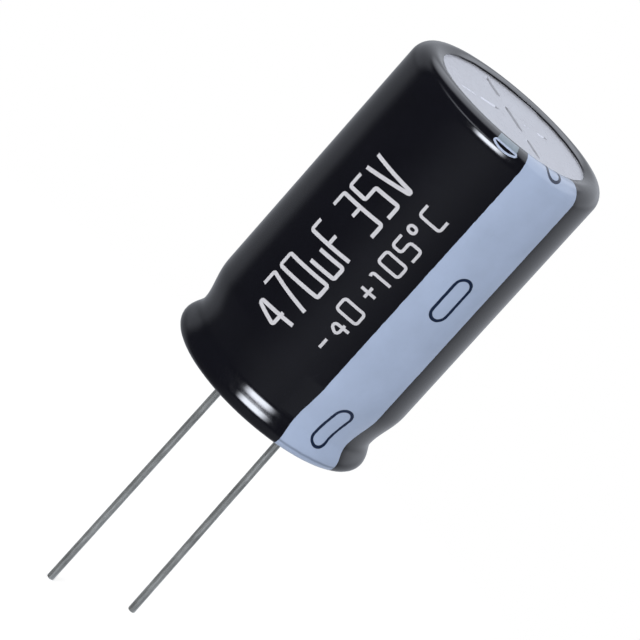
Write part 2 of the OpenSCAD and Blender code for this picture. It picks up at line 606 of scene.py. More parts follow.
@dataclass
class Forming:
    """The Geometry Nodes trees that shape the pieces, each built at its first use.

    A noise is given by its scale, its detail and, where it isn't one half, its roughness.
    """

    wander_noise: Ramp = (18.0, 3.0, 0.7)
    gather_noise: Ramp = (5.0, 1.0)
    swell_noise: Ramp = (3.0, 2.0)
    gather_reach: float = 2 * MM
    weld: float = 0.001 * MM
    corner_points: int = 6
    lean_from: float = 0.2 * MM
    lean_whole: float = -2.0 * MM

    @cached_property
    def lay_group(self) -> NodeTree:
        """Builds the group that lays flat work on the body and lets it wander, as shrunk film does.

        In the flat work x is the distance round the body, y the length up the film and z the offset outwards.

        Returns:
            The group.
        """
        graph = new_group("Lay On Body", TreeKind.SHAPE, LAY_INPUTS, GEOMETRY_OUT)
        given, body_radius = graph.given, graph.given["Body Radius"]
        around, along, out = graph.split(graph.take("GeometryNodeInputPosition"))
        path = graph.take("GeometryNodeObjectInfo", {"Object": given["Path"]}, "Geometry")
        line = graph.take("GeometryNodeMeshToCurve", {0: path})
        to_edge = graph.take("GeometryNodeCurveLength", {0: line}) - along

        cosine, sine = graph.compass(around / body_radius)
        ring = graph.join(cosine, sine, given["Seed"])
        skin = graph.join(cosine, sine, along / body_radius + given["Seed"])
        fine = graph.split(graph.noise(skin, *self.wander_noise, out="Color"))[0]
        shifted = around + (fine - 0.5) * given["Wander"] * 2.0
        gathers = graph.noise(ring, *self.gather_noise)
        reached = along - gathers * graph.span(to_edge, self.gather_reach, 0.0) * given["Edge Wander"]
        lifted = out - graph.noise(skin, *self.swell_noise) * given["Ripple"]

        sample = graph.add("GeometryNodeSampleCurve", {"Curves": line, "Length": reached}, mode="LENGTH")
        here, way = (graph.split(Signal(graph, sample.outputs[name])) for name in ("Position", "Tangent"))
        radius = way[2] * lifted + here[0]
        cosine, sine = graph.compass(shifted / body_radius)
        laid = graph.join(radius * cosine, radius * sine, here[2] - way[0] * lifted)
        return graph.send(graph.take("GeometryNodeSetPosition", {0: given["Geometry"], "Position": laid}))

    def laid(self, graph: Graph, work: Signal) -> Signal:
        """Adds the group that lays flat work on the body, with the tree's own inputs."""
        feeds = {name: graph.given[name] for name in LAY_INPUTS}
        return graph.group(self.lay_group, feeds | {"Geometry": work})

    def welded(self, graph: Graph, geometry: Signal) -> Signal:
        """Adds the node that merges points at a seam or a pole."""
        return graph.take("GeometryNodeMergeByDistance", {"Geometry": geometry, "Distance": self.weld})

    @cached_property
    def film_tree(self) -> NodeTree:
        """Builds the tree that shrinks a flat slab of film on to the can and closes its seam.

        Returns:
            The tree.
        """
        graph = new_group("Shrunk Film", TreeKind.SHAPE, FILM_INPUTS, GEOMETRY_OUT)
        return graph.close(self.welded(graph, self.laid(graph, graph.given["Geometry"])))

    @cached_property
    def line_tree(self) -> NodeTree:
        """Builds the tree that draws each line as a ribbon with rounded corners and lays it on the film, for
        the print and for the painted reflection on the shoulder.

        Returns:
            The tree.
        """
        graph = new_group("Printed Lines", TreeKind.SHAPE, LINE_INPUTS, GEOMETRY_OUT)
        given = graph.given
        line = graph.take("GeometryNodeMeshToCurve", {0: given["Geometry"]})
        rounded = graph.take("GeometryNodeFilletCurve", {
            "Curve": line, "Count": self.corner_points, "Radius": given["Corner"], "Limit Radius": True},
            mode="POLY")
        spaced = graph.take("GeometryNodeResampleCurve", {"Curve": rounded, "Length": given["Step"]},
                            mode="LENGTH")
        level = graph.take("GeometryNodeSetCurveNormal", {"Curve": spaced}, mode="Z_UP")
        nib = graph.take("GeometryNodeCurvePrimitiveQuadrilateral", {
            "Width": given["Line Width"], "Height": given["Ink Depth"]})
        ribbon = graph.take("GeometryNodeCurveToMesh", {
            "Curve": level, "Profile Curve": nib, "Fill Caps": True})
        return graph.close(self.laid(graph, ribbon))

    def turned(self, graph: Graph) -> Signal:
        """Adds the nodes that turn the given line of points about an upright axis.

        Args:
            graph: The tree's graph, with Geometry, Segments and Axis X among its inputs.

        Returns:
            The turned and welded mesh.
        """
        given, section = graph.given, graph.given["Geometry"]
        count = graph.take("GeometryNodeAttributeDomainSize", {0: section}, "Point Count", component="MESH")
        grid = graph.take("GeometryNodeMeshGrid", {
            "Size X": 1.0, "Size Y": 1.0, "Vertices X": given["Segments"] + 1.0, "Vertices Y": count}, "Mesh")
        index = graph.take("GeometryNodeInputIndex")
        spot = graph.take("GeometryNodeSampleIndex", {
            "Geometry": section, "Value": graph.take("GeometryNodeInputPosition"),
            "Index": graph.math("FLOORED_MODULO", index, count)}, data_type="FLOAT_VECTOR", domain="POINT")
        radius, _, height = graph.split(spot)
        cosine, sine = graph.compass(graph.math("FLOOR", index / count) / given["Segments"] * tau)
        laid = graph.join(radius * cosine + given["Axis X"], radius * sine, height)
        return self.welded(graph, graph.take("GeometryNodeSetPosition", {0: grid, "Position": laid}))

    @cached_property
    def lead_tree(self) -> NodeTree:
        """Builds the tree that turns a lead and lets it lean below the seating plane.

        Returns:
            The tree.
        """
        graph = new_group("Leaning Lead", TreeKind.SHAPE, LEAD_INPUTS, GEOMETRY_OUT)
        given = graph.given
        turned = self.turned(graph)
        height = graph.split(graph.take("GeometryNodeInputPosition"))[2]
        share = graph.math("MINIMUM", height, 0.0) / given["Tip Z"]
        left = graph.span(height, self.lean_from, self.lean_whole) - share
        leant = graph.vector("ADD", graph.scaled(given["Root Shift"], left),
                             graph.scaled(given["Tip Shift"], share))
        return graph.close(graph.take("GeometryNodeSetPosition", {0: turned, "Offset": leant}))

    @cached_property
    def can_tree(self) -> NodeTree:
        """Builds the tree that turns the can, sets a blade along each score line and cuts both out.

        Returns:
            The tree.
        """
        graph = new_group("Scored Can", TreeKind.SHAPE, CAN_INPUTS, GEOMETRY_OUT)
        given = graph.given
        body = self.turned(graph)
        middle = graph.join(0.0, 0.0, given["Panel Z"])
        points = graph.take("GeometryNodePoints", {"Count": 2, "Position": middle})
        index = graph.take("GeometryNodeInputIndex")
        heading = graph.join(0.0, 0.0, index * given["Line Spacing"] + given["First Turn"])
        kit = graph.add("GeometryNodeJoinGeometry")
        for label in ("Second Blade", "First Blade"):
            graph.feed(kit.inputs[0], graph.take("GeometryNodeObjectInfo", {
                "Object": given[label], "As Instance": True}, "Geometry"))
        blades = graph.take("GeometryNodeInstanceOnPoints", {
            "Points": points, "Instance": Signal(graph, kit.outputs[0]), "Pick Instance": True,
            "Instance Index": index, "Rotation": heading})
        return graph.close(graph.take("GeometryNodeMeshBoolean", {0: body, "Mesh 2": blades},
                                      operation="DIFFERENCE", solver="EXACT"))


@dataclass
class Effects:
    """The shader groups that more than one finish uses, each built at its first use."""

    grain_detail: float = 3.0
    bend_reach: float = MM
    scratch_edge: Point = (0.012, 0.004)
    worn_scale: float = 0.8
    worn_edge: Point = (0.62, 0.72)
    speck_scale: float = 14.0
    speck_edge: Point = (0.79, 0.84)
    cloud_noise: Ramp = (5.0, 0.6)

    @cached_property
    def grain(self) -> NodeTree:
        """Builds the group for fine stretched grain.

        Returns:
            The group, which puts out a value around one half.
        """
        graph = new_group("Fine Grain", TreeKind.SHADER, {"Stretch": (1.0, 1.0, 1.0), "Size": 0.1 * MM},
                          ("Value", "NodeSocketFloat"))
        place = graph.vector("MULTIPLY", graph.place(), graph.given["Stretch"])
        scale = graph.math("DIVIDE", 1.0, graph.given["Size"])
        return graph.send(graph.noise(place, scale, self.grain_detail))

    @cached_property
    def scuff(self) -> NodeTree:
        """Builds the group for fine handling scratches and dust.

        Returns:
            The group, which puts out a mask that is one on a scratch or a speck.
        """
        graph = new_group("Handling Scuffs", TreeKind.SHADER, {"Size": 2 * MM, "Density": 0.3},
                          ("Mask", "NodeSocketFloat"))
        place = graph.place()
        scale = graph.math("DIVIDE", 1.0, graph.given["Size"])
        bend = graph.scaled(graph.noise(place, scale, detail=1.0, out="Color"), self.bend_reach)
        bent = graph.vector("ADD", place, bend)
        cell = graph.take("ShaderNodeTexVoronoi", {"Vector": bent, "Scale": scale}, "Distance",
                          feature="DISTANCE_TO_EDGE")
        worn = graph.span(graph.noise(place, scale * self.worn_scale), *self.worn_edge)
        speck = graph.span(graph.noise(place, scale * self.speck_scale, detail=0.0), *self.speck_edge)
        marks = graph.math("MAXIMUM", graph.span(cell, *self.scratch_edge) * worn, speck)
        return graph.send(graph.math("MULTIPLY", marks, graph.given["Density"], clamp=True))

    @cached_property
    def tone(self) -> NodeTree:
        """Builds the group for the cloudy tone of ink, film and metal.

        Returns:
            The group, which puts out the colour lightened and darkened in soft patches.
        """
        graph = new_group("Cloudy Tone", TreeKind.SHADER, {
            "Colour": (0.5, 0.5, 0.5, 1.0), "Amount": 0.1, "Size": 4 * MM, "Stretch": (1.0, 1.0, 1.0)},
            ("Colour", "NodeSocketColor"))
        place = graph.vector("MULTIPLY", graph.place(), graph.given["Stretch"])
        cloud = graph.noise(place, graph.math("DIVIDE", 1.0, graph.given["Size"]), *self.cloud_noise)
        swing = (cloud - 0.5) * graph.given["Amount"] * 2.0
        return graph.send(graph.scaled(graph.given["Colour"], swing + 1.0))


# Finishes


@dataclass(frozen=True)
class Finish:
    """A finish: the plain values of its shader, and the grain, tone and scuffs that lie over them."""

    name: str
    colour: Triple
    roughness: float
    metallic: float = 0.0
    specular: float = 0.5
    tone_amount: float = 0.1
    tone_size: float = 4 * MM
    tone_stretch: Triple = (1.0, 1.0, 1.0)
    grain_stretch: Triple = (1.0, 1.0, 1.0)
    grain_size: float = 0.1 * MM
    grain_height: float = 0.002 * MM
    grain_gloss: float = 0.1
    grain_span: Point = (0.25, 0.75)
    scuff_size: float = 3 * MM
    scuff_density: float = 0.0
    scuff_dulling: float = 0.3
    scuff_colour: Triple = (0.5, 0.5, 0.5)

    def material(self, effects: Effects) -> Material:
        """Builds the material.

        Args:
            effects: The shader groups of the scene.

        Returns:
            The material, on a Principled shader.
        """
        made = bpy.data.materials.new(self.name)
        graph = cleared(made)
        colour, height, roughness = self.surface(graph, effects)
        bump = graph.take("ShaderNodeBump", {"Strength": 1.0, "Distance": 1.0, "Height": height})
        shader = graph.take("ShaderNodeBsdfPrincipled", {
            "Base Color": colour, "Roughness": roughness, "Metallic": self.metallic,
            "Specular IOR Level": self.specular, "Normal": bump})
        graph.add("ShaderNodeOutputMaterial", {"Surface": shader})
        return made

    def surface(self, graph: Graph, effects: Effects) -> tuple[Signal, Signal, Signal]:
        """Adds the nodes that vary over the surface.

        Args:
            graph: The material's graph.
            effects: The shader groups of the scene.

        Returns:
            The colour, the bump's height in metres and the roughness.
        """
        tone = graph.group(effects.tone, {"Colour": rgba(self.colour), "Amount": self.tone_amount,
                                          "Size": self.tone_size, "Stretch": self.tone_stretch})
        grain = graph.group(effects.grain, {"Stretch": self.grain_stretch, "Size": self.grain_size})
        scuff = graph.group(effects.scuff, {"Size": self.scuff_size, "Density": self.scuff_density})
        gloss = graph.span(grain, *self.grain_span, to_low=self.roughness - self.grain_gloss,
                           to_high=self.roughness + self.grain_gloss)
        return (graph.blend(scuff, tone, rgba(self.scuff_colour)), grain * self.grain_height,
                graph.math("MULTIPLY_ADD", scuff, self.scuff_dulling, gloss, clamp=True))


@dataclass(frozen=True)
class RolledFinish(Finish):
    """A finish for the wound foil: thin rings of foil and paper about the axis."""

    turn_pitch: float = 0.12 * MM
    paper: Triple = (0.62, 0.55, 0.42)
    paper_edge: Point = (-0.4, 0.4)
    paper_depth: float = 0.02 * MM

    def surface(self, graph: Graph, effects: Effects) -> tuple[Signal, Signal, Signal]:
        """Adds the rings to the plain surface.

        Args:
            graph: The material's graph.
            effects: The shader groups of the scene.

        Returns:
            The colour, the bump's height in metres and the roughness.
        """
        colour, height, gloss = super().surface(graph, effects)
        x, y, _ = graph.split(graph.place())
        radius = graph.vector("LENGTH", graph.join(x, y, 0.0), out="Value")
        paper = graph.span(graph.math("SINE", radius * (tau / self.turn_pitch)), *self.paper_edge)
        return graph.blend(paper, colour, rgba(self.paper)), paper * -self.paper_depth + height, gloss


@dataclass(frozen=True)
class CreaseAndShadeFinish(Finish):
    """A finish for print that runs over the heel, where the shrunk film has a fine crease round its foot,
    with painted shade that darkens the ink along the crease.
    """

    crease_z: float = 0.84 * MM
    crease_width: float = 0.46 * MM
    crease_depth: float = 0.012 * MM
    crease_swing: float = 0.16 * MM
    crease_wave: float = 1.5 * MM
    crease_shade_share: float = 0.65
    # Painted shade: the darker blue that the ink takes along the crease.
    crease_shade_colour: Triple = (0.13, 0.165, 0.24)

    def surface(self, graph: Graph, effects: Effects) -> tuple[Signal, Signal, Signal]:
        """Adds the crease, which wanders a little up and down, to the plain surface: a shallow dent in the
        bump, and painted shade that darkens the colour along it.

        Args:
            graph: The material's graph.
            effects: The shader groups of the scene.

        Returns:
            The colour, the bump's height in metres and the roughness.
        """
        colour, height, gloss = super().surface(graph, effects)
        place = graph.place()
        wander = graph.noise(place, 1 / self.crease_wave, detail=1.0)
        level = wander * self.crease_swing + (self.crease_z - self.crease_swing / 2)
        line = graph.span(graph.math("ABSOLUTE", graph.split(place)[2] - level), self.crease_width / 2, 0.0)
        # Painted shade along the crease, mixed into the ink's colour.
        creased_and_shaded = graph.blend(line * self.crease_shade_share, colour, rgba(self.crease_shade_colour))
        return creased_and_shaded, line * -self.crease_depth + height, gloss


FILM = Finish("sleeve_film", colour=(0.0040, 0.0041, 0.0070), roughness=0.12, specular=0.6, tone_amount=0.3,
              tone_size=3 * MM, grain_size=0.5 * MM, grain_height=0.0012 * MM, grain_gloss=0.03,
              scuff_size=2.4 * MM, scuff_density=0.14, scuff_colour=(0.03, 0.03, 0.04))
# The stripe's ink, with painted shade along the crease at its heel.
STRIPE = CreaseAndShadeFinish("stripe_ink", colour=(0.393, 0.477, 0.655), roughness=0.14, tone_amount=0.16,
                       tone_size=5 * MM, grain_size=0.3 * MM, grain_height=0.0008 * MM, grain_gloss=0.04,
                       scuff_size=2.2 * MM, scuff_density=0.14, scuff_colour=(0.24, 0.3, 0.42))
MARK = Finish("mark_ink", colour=(0.010, 0.020, 0.052), roughness=0.2, specular=0.4, tone_amount=0.3,
              tone_size=0.5 * MM, grain_size=0.12 * MM, grain_height=0.001 * MM, grain_gloss=0.06)
RATING = replace(MARK, name="rating_ink", colour=(0.56, 0.56, 0.6), roughness=0.3, tone_amount=0.12,
                 tone_size=0.6 * MM, grain_size=0.1 * MM)
# Painted reflection: the loop's pale blue stands in for a lamp's reflection on the shoulder's glossy film,
# and the patch's duller blue is a shaded copy of it.
LOOP_PAINTED_REFLECTION = replace(MARK, name="loop_ink", colour=(0.43, 0.5, 0.66), tone_amount=0.2)
PATCH_PAINTED_REFLECTION = replace(LOOP_PAINTED_REFLECTION, name="patch_ink", colour=(0.24, 0.295, 0.355))
CAN = Finish("can_aluminium", colour=(0.596, 0.606, 0.656), roughness=0.34, metallic=0.65, tone_amount=0.04,
             tone_size=5 * MM, grain_stretch=(0.05, 1.0, 1.0), grain_size=0.06 * MM, grain_height=0.0003 * MM,
             grain_gloss=0.08, scuff_size=1.8 * MM, scuff_density=0.3, scuff_colour=(0.6, 0.62, 0.68))
RUBBER = Finish("bung_rubber", colour=(0.022, 0.022, 0.024), roughness=0.62, specular=0.3, tone_amount=0.3,
                tone_size=2 * MM, grain_size=0.12 * MM, grain_height=0.006 * MM, scuff_size=2 * MM,
                scuff_density=0.25, scuff_colour=(0.07, 0.07, 0.07))
WIRE = Finish("tinned_wire", colour=(0.67, 0.69, 0.68), roughness=0.26, metallic=0.84, tone_amount=0.8,
              tone_size=0.9 * MM, tone_stretch=(1.0, 1.0, 0.4), grain_stretch=(1.0, 1.0, 0.08),
              grain_size=0.12 * MM, grain_height=0.006 * MM, scuff_size=1.2 * MM, scuff_density=0.35,
              scuff_colour=(0.42, 0.42, 0.44))
TAB = Finish("tab_aluminium", colour=(0.62, 0.63, 0.66), roughness=0.42, metallic=1.0,
             grain_stretch=(1.0, 1.0, 0.05), grain_size=0.08 * MM)
TAPE = Finish("closing_tape", colour=(0.68, 0.58, 0.3), roughness=0.4, tone_size=3 * MM,
              grain_stretch=(1.0, 1.0, 0.2), grain_size=0.2 * MM)
WOUND = RolledFinish("wound_foil", colour=(0.5, 0.5, 0.5), roughness=0.5, tone_amount=0.15,
                     grain_height=0.003 * MM)


# Film, print and a painted reflection


def place_piece(piece: Object, slot: Slot, *nodes: str) -> None:
    """Sets a finished piece on the body, in place of its CAD nodes.

    Args:
        piece: The finished piece.
        slot: The record's material slot; not used.
        *nodes: CAD nodes that the piece stands for.
    """
    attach(piece, ROOT)
    if nodes:
        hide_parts(*nodes)
    triangles = sum(len(p.vertices) - 2 for p in piece.data.polygons)
    LOG.info("%s: %d triangles, stands for %s", piece.name, triangles, ", ".join(nodes) or "no node")


@dataclass(frozen=True)
class Pen:
    """How a line is drawn: its width, its corners' radius, its points' spacing and its depth."""

    line: float
    corner: float
    step: float
    depth: float = 0.03 * MM

    @property
    def values(self) -> dict[str, float]:
        """Gives the inputs of the tree that draws the line."""
        return {"Line Width": self.line, "Ink Depth": self.depth, "Corner": self.corner, "Step": self.step}


@dataclass(frozen=True)
class MinusMarks:
    """The outlined minus marks that repeat up the stripe, the last one cut off by the film's edge."""

    form: CanForm
    stripe_turn: float
    whole_marks: int = 2
    length: float = 5.2 * MM
    width: float = 2.15 * MM
    first_z: float = 4.4 * MM
    pitch: float = 16.8 * MM
    cut_end_reach: float = 1.25 * MM
    cut_margin: float = 0.3 * MM
    end_pieces: int = 14
    pen: Pen = Pen(line=0.32 * MM, corner=0.0, step=0.12 * MM)

    def end(self, centre: Point, start: float) -> list[Point]:
        """Gives the half circle that ends a mark, from the given angle on."""
        return arc_points(centre, (self.width - self.pen.line) / 2, start, start + pi, self.end_pieces)

    def lines(self) -> Object:
        """Gives the flat centre lines of all marks.

        Returns:
            The object, with the cut mark's line open at the film's edge.
        """
        across = self.stripe_turn * self.form.radius
        reach = (self.length - self.width) / 2
        marks = []
        for number in range(self.whole_marks):
            middle = self.form.length_at(self.first_z + number * self.pitch)
            mark = self.end((across, middle + reach), 0) + self.end((across, middle - reach), pi)
            marks.append((mark, True))
        end_radius = self.form.opening_radius + self.cut_end_reach + self.width / 2
        bend = self.end((across, self.form.length_under(end_radius) + self.width / 2), pi)
        cut = self.form.path_length - self.cut_margin
        marks.append(([(bend[0][0], cut)] + bend + [(bend[-1][0], cut)], False))
        return lines_object("mark_lines", marks, -self.form.skin)


@dataclass(frozen=True)
class PaintedReflectionLoop:
    """A painted reflection on the shoulder: an outlined loop, straight above and bowed below, that stands in
    for a lamp's reflection on the glossy film, and a duller patch above it, a shaded copy of the same
    reflection.
    """

    form: CanForm
    start: float = radians(-50.4)
    stop: float = radians(-36.9)
    top_z: float = 35.7 * MM
    end_z: float = 35.56 * MM
    bow_z: float = 35.25 * MM
    bow_power: float = 0.7
    pieces: int = 24
    pen: Pen = Pen(line=0.21 * MM, corner=0.1 * MM, step=0.08 * MM)
    patch: float = 1.0 * MM
    patch_inset: float = 0.12 * MM
    patch_depth: float = 0.0225 * MM
    strips: int = 6

    def lines(self) -> Object:
        """Gives the flat centre line of the loop of painted reflection.

        Returns:
            The object with one closed line.
        """
        left, right = self.start * self.form.radius, self.stop * self.form.radius
        top, end, bow = (self.form.length_at(z) for z in (self.top_z, self.end_z, self.bow_z))
        shares = [i / self.pieces for i in range(self.pieces + 1)]
        bowed = [(left + (right - left) * s, end - (end - bow) * sin(pi * s) ** self.bow_power)
                 for s in shares]
        loop = bowed + [(right - self.pen.corner, top), (left + self.pen.corner, top)]
        return lines_object("loop_lines", [(loop, True)], -self.form.skin)

    def patch_lines(self) -> Object:
        """Gives the flat centre lines of the strips that fill the patch of painted reflection between the
        loop and the film's edge.

        Returns:
            The object with one line for each strip.
        """
        foot = self.form.length_at(self.top_z) + self.pen.line / 2
        left = self.start * self.form.radius + self.patch_inset
        right = self.stop * self.form.radius - self.patch_inset
        levels = [foot + self.patch * (i + 0.5) / self.strips for i in range(self.strips)]
        strips = [([(left, y), (right, y)], False) for y in levels]
        return lines_object("patch_lines", strips, -self.form.skin)

    @property
    def painted_reflection_patch_pen(self) -> Pen:
        """Gives the pen that draws the strips of the painted reflection's patch."""
        return replace(self.pen, line=self.patch / self.strips, depth=self.patch_depth)


@dataclass(frozen=True)
class Glyph:
    """Strokes of one character on a field that is one wide and one high, and its width against the others."""

    strokes: tuple[tuple[Point, ...], ...]
    width: float = 1.0


GLYPHS = {
    "0": Glyph((((0, 0), (1, 0), (1, 1), (0, 1), (0, 0)),)),
    "1": Glyph((((0, 0.84), (0.55, 1), (0.55, 0)),), 0.6),
    "3": Glyph((((0, 1), (1, 1), (1, 0), (0, 0)), ((0.25, 0.53), (1, 0.53)))),
    "4": Glyph((((0.76, 0), (0.76, 1), (0, 0.3), (1, 0.3)),)),
    "5": Glyph((((1, 1), (0, 1), (0, 0.56), (1, 0.56), (1, 0), (0, 0)),)),
    "7": Glyph((((0, 1), (1, 1), (0.35, 0)),)),
    "u": Glyph((((0, 0.58), (0, 0), (1, 0), (1, 0.58)),), 0.9),
    "F": Glyph((((0, 0), (0, 1), (1, 1)), ((0, 0.52), (0.85, 0.52))), 0.85),
    "V": Glyph((((0, 1), (0.42, 0), (0.58, 0), (1, 1)),), 1.05),
    "C": Glyph((((1, 1), (0, 1), (0, 0), (1, 0)),), 0.9),
    "-": Glyph((((0.05, 0.48), (0.95, 0.48)),), 0.9),
    "+": Glyph((((0, 0.48), (1, 0.48)), ((0.5, 0.14), (0.5, 0.82))), 0.9),
    "°": Glyph((((0, 0.66), (0.6, 0.66), (0.6, 1), (0, 1), (0, 0.66)),), 0.8),
}


@dataclass(frozen=True)
class StrokeText:
    """A line of plain stroke characters that reads up the body."""

    name: str
    text: str
    base_turn: float
    foot_z: float
    height: float
    glyph: float
    gap: float
    space: float
    pen: Pen
    lean: float = 0.0

    def lines(self, form: CanForm) -> Object:
        """Gives the flat centre lines of the text's strokes.

        Args:
            form: Section of the sleeved can.

        Returns:
            The object with one line for each stroke.
        """
        base, foot = self.base_turn * form.radius, form.length_at(self.foot_z)
        lines = []
        for character in self.text:
            if character == " ":
                foot += self.space
                continue
            glyph = GLYPHS[character]
            width = glyph.width * self.glyph
            for stroke in glyph.strokes:
                closed = stroke[0] == stroke[-1]
                lines.append(([(base - y * self.height, foot + x * width - y * self.height * tan(self.lean))
                               for x, y in (stroke[:-1] if closed else stroke)], closed))
            foot += width + self.gap
        return lines_object(f"{self.name}_strokes", lines, -form.skin)


RATING_LINE = StrokeText("rating_line", "470uF 35V", base_turn=radians(-62.5), foot_z=8.9 * MM,
                         height=5.1 * MM, glyph=1.5 * MM, gap=0.84 * MM, space=1.0 * MM,
                         pen=Pen(line=0.39 * MM, corner=0.2 * MM, step=0.15 * MM), lean=radians(7))
CLIMATE_LINE = StrokeText("temperature_line", "-40 +105°C", base_turn=radians(-40.5), foot_z=10.2 * MM,
                          height=2.4 * MM, glyph=1.3 * MM, gap=0.72 * MM, space=0.5 * MM,
                          pen=Pen(line=0.3 * MM, corner=0.3 * MM, step=0.15 * MM))


@dataclass
class PrintedSleeve:
    """The shrunk film with its polarity stripe, its minus marks and its rating."""

    form: CanForm
    forming: Forming
    effects: Effects
    stripe_turn: float = radians(-12.5)
    stripe_width: float = 7.3 * MM
    column: float = 0.3 * MM
    film_row: float = 0.25 * MM
    stripe_row: float = 0.16 * MM
    pocket_play: float = 0.01 * MM
    edge_round: float = 0.03 * MM
    edge_rows: int = 6
    edge_fall: float = 0.9
    wander: float = 0.07 * MM
    rating_wander: float = 0.3
    edge_wander: float = 0.16 * MM
    ripple: float = 0.02 * MM
    seed: float = 4.0
    path: Object = field(init=False)

    def __post_init__(self) -> None:
        """Makes the line that all flat work is laid on."""
        self.path = section_object("film_path", self.form.skin_path())

    @property
    def stripe_span(self) -> Point:
        """Gives the distances round the body at which the stripe starts and ends."""
        middle = self.stripe_turn * self.form.radius
        return middle - self.stripe_width / 2, middle + self.stripe_width / 2

    def rows(self, step: float) -> np.ndarray:
        """Gives the lengths along the film at which a slab has its rows, closer at both edges.

        Args:
            step: Greatest distance between rows.

        Returns:
            The lengths, from the foot to the film's edge on the top.
        """
        edge, whole = self.edge_round, self.form.path_length
        rounding = edge * (1 - np.cos(np.linspace(0, pi / 2, self.edge_rows)))
        middle = np.linspace(edge, whole - edge, ceil((whole - 2 * edge) / step) + 1)[1:-1]
        return np.concatenate([rounding, middle, whole - rounding[::-1]])

    def edge_drop(self, rows: np.ndarray) -> np.ndarray:
        """Gives how far the film's face falls at its rounded edges.

        Args:
            rows: Lengths along the film.

        Returns:
            The fall at each row.
        """
        away = np.minimum(rows, self.form.path_length - rows)
        share = np.clip(1 - away / self.edge_round, 0, 1)
        return self.edge_fall * self.edge_round * (1 - np.sqrt(1 - share ** 2))

    def slab(self, name: str, columns: np.ndarray, rows: np.ndarray, top: np.ndarray, bottom: float,
             closed: bool) -> Object:
        """Makes a flat slab.

        Args:
            name: Name of the object.
            columns: Distances round the body.
            rows: Lengths along the film.
            top: Offset of the upper face at each column and row.
            bottom: Offset of the lower face.
            closed: Whether the slab has side walls, which a full turn has not.

        Returns:
            The slab, still flat.
        """
        across, up = len(columns), len(rows)
        below = across * up
        x, y = np.meshgrid(columns, rows, indexing="ij")
        faces_z = (top, np.full_like(top, bottom))
        points = np.concatenate([np.stack([x, y, z], -1).reshape(-1, 3) for z in faces_z])
        i, j = np.meshgrid(np.arange(across - 1), np.arange(up - 1), indexing="ij")
        near = (i * up + j).ravel()
        upper = np.stack([near, near + up, near + up + 1, near + 1], -1)
        faces = [upper, upper[:, ::-1] + below]
        foot, left = np.arange(across - 1) * up, np.arange(up - 1)
        walls = [(foot, up, 1), (foot + up - 1, up, -1)]
        if closed:
            walls += [(left, 1, -1), (left + (across - 1) * up, 1, 1)]
        for low, step, order in walls:
            faces.append(np.stack([low, low + below, low + step + below, low + step], -1)[:, ::order])
        return mesh_object(name, points.tolist(), np.concatenate(faces).tolist())

    def film_slab(self) -> Object:
        """Gives the flat film, with the pocket that holds the stripe.

        Returns:
            The slab.
        """
        (start, stop), play, girth = self.stripe_span, self.pocket_play, self.form.girth
        black = np.linspace(stop + play, start + girth - play, ceil((girth - stop + start) / self.column))
        pocket = np.linspace(start + girth + play, stop + girth - play, ceil((stop - start) / self.column))
        columns = np.concatenate([black, pocket, [stop + girth + play]])
        rows = self.rows(self.film_row)
        in_pocket = ((columns > start + girth) & (columns < stop + girth))[:, None]
        drop = self.edge_drop(rows)[None, :]
        top = -self.form.skin - np.where(in_pocket, np.maximum(drop, self.form.print_depth + play), drop)
        return self.slab("sleeve_flat", columns, rows, top, -self.form.film, closed=False)

    def stripe_slab(self) -> Object:
        """Gives the flat stripe, flush with the film.

        Returns:
            The slab.
        """
        start, stop = self.stripe_span
        columns = np.linspace(start, stop, ceil((stop - start) / self.column) + 1)
        rows = self.rows(self.stripe_row)
        top = np.broadcast_to(-self.form.skin - self.edge_drop(rows), (len(columns), len(rows)))
        bottom = -self.form.print_depth - self.form.skin
        return self.slab("stripe_flat", columns, rows, top, bottom, closed=True)

    def lay(self, name: str, flat: Object, material: Material, slot: Slot, *nodes: str,
            pen: Pen | None = None, wander_share: float = 1.0) -> None:
        """Lays flat work on the body and sets it in place.

        Args:
            name: Name of the finished piece.
            flat: A slab, or the lines to draw.
            material: Its material.
            slot: The record's material slot.
            *nodes: CAD nodes that the piece stands for.
            pen: The pen that draws the lines, or None for a slab.
            wander_share: Share of the film's wander that the work follows.
        """
        values = {"Path": self.path, "Body Radius": self.form.radius, "Wander": wander_share * self.wander,
                  "Edge Wander": self.edge_wander, "Ripple": self.ripple, "Seed": self.seed,
                  "Material": material} | (pen.values if pen else {})
        tree = self.forming.line_tree if pen else self.forming.film_tree
        place_piece(formed(name, flat, tree, values), slot, *nodes)

    def build(self) -> None:
        """Builds and dresses the film, all its print and the painted reflection on its shoulder."""
        marks, loop = MinusMarks(self.form, self.stripe_turn), PaintedReflectionLoop(self.form)
        self.lay("sleeve_skin", self.film_slab(), FILM.material(self.effects), Slot.SLEEVE_FILM, "sleeve")
        self.lay("stripe_print", self.stripe_slab(), STRIPE.material(self.effects), Slot.STRIPE_PRINT,
                 "polarity_stripe")
        self.lay("minus_mark_lines", marks.lines(), MARK.material(self.effects), Slot.MARK_PRINT,
                 "minus_marks", pen=marks.pen)
        # Painted reflection on the shoulder, drawn like print: the loop and the duller patch above it.
        self.lay("shoulder_loop", loop.lines(), LOOP_PAINTED_REFLECTION.material(self.effects), Slot.STRIPE_PRINT, pen=loop.pen)
        self.lay("shoulder_patch", loop.patch_lines(), PATCH_PAINTED_REFLECTION.material(self.effects), Slot.STRIPE_PRINT,
                 pen=loop.painted_reflection_patch_pen)
        white = RATING.material(self.effects)
        for text in (RATING_LINE, CLIMATE_LINE):
            self.lay(text.name, text.lines(self.form), white, Slot.STRIPE_PRINT, pen=text.pen,
                     wander_share=self.rating_wander)
        bpy.data.objects.remove(self.path)


# Can, leads and inner parts


